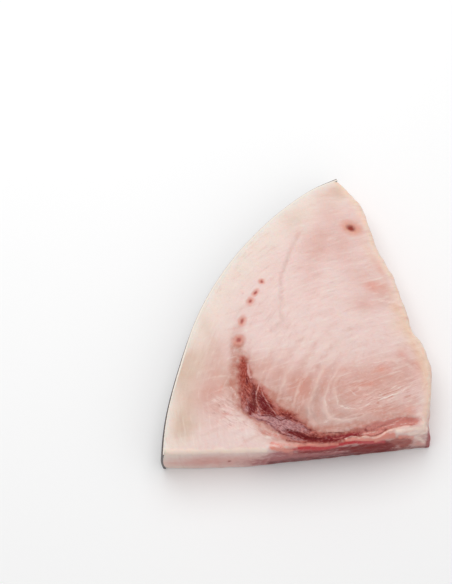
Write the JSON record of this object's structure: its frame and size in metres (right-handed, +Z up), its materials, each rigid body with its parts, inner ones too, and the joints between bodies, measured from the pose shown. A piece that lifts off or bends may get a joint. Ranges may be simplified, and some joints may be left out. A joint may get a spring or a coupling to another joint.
{
  "type": "swordfish steak",
  "caption": "Thick raw swordfish steak cut across a loin quarter: pale flesh, a dark red crescent of muscle through it and a strip of skin round the curved side.",
  "frame": {"origin": "middle of the footprint's box, on the surface that the steak lies on", "axes": "+Z up, out of the upper cut face; +Y from the straight front side to the pointed tip; +X from the skin side to the medial edge"},
  "size_m": [0.1492, 0.1662, 0.0262],
  "materials": {
    "flesh": "moist satin",
    "bloodline": "moist satin",
    "skin": "moist satin"
  },
  "bodies": {
    "root": {"flesh": "flesh", "bloodline": "bloodline", "skin": "skin"}
  },
  "joints": []
}
